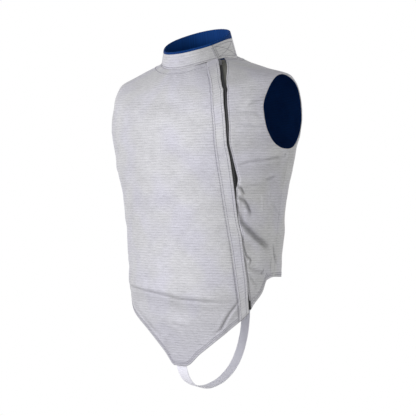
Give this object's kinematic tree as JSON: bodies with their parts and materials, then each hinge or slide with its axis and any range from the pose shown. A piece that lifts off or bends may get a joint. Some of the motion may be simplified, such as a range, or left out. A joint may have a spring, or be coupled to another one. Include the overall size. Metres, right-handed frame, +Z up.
{
  "type": "foil lame",
  "caption": "Sleeveless metal-cloth fencing over-vest, worn and hollow, with side-front zip under a placket, standing lapped collar, pointed front and crotch strap.",
  "frame": {"origin": "the middle of the neck opening at the height of its side points, where the wearer's neck and shoulders hold the vest", "axes": "+Z up along the wearer's body, the front faces -Y, +X towards the wearer's left"},
  "size_m": [0.4229, 0.2653, 0.7361],
  "materials": {
    "metal_cloth": "silver-grey woven cloth of metal thread with fine ribs across and a soft sheen",
    "lining": "matt royal to navy blue woven lining",
    "webbing": "matt lavender-white woven elastic",
    "zip_tape": "charcoal woven tape",
    "zip_teeth": "dark grey moulded teeth",
    "zip_box": "black moulded plastic",
    "zip_metal": "satin metal"
  },
  "bodies": {
    "vest": {"front": "metal_cloth", "left_front": "metal_cloth", "back": "metal_cloth", "placket": "metal_cloth", "collar": "metal_cloth", "collar_lining": "lining", "lining_front": "lining", "lining_left_front": "lining", "lining_back": "lining", "crotch_strap": "webbing", "zip_tape_right": "zip_tape", "zip_tape_left": "zip_tape", "zip_chain": "zip_teeth", "zip_box": "zip_box", "zip_slider": "zip_metal"},
    "pull": {"zip_pull": "zip_metal"}
  },
  "joints": [
    {"name": "pull_hinge", "type": "hinge", "parent": "vest", "child": "pull", "pos_m": [0.08289, -0.05336, -0.00966], "axis": [-0.7477, -0.6535, -0.1178], "range_deg": [0, 120]}
  ]
}
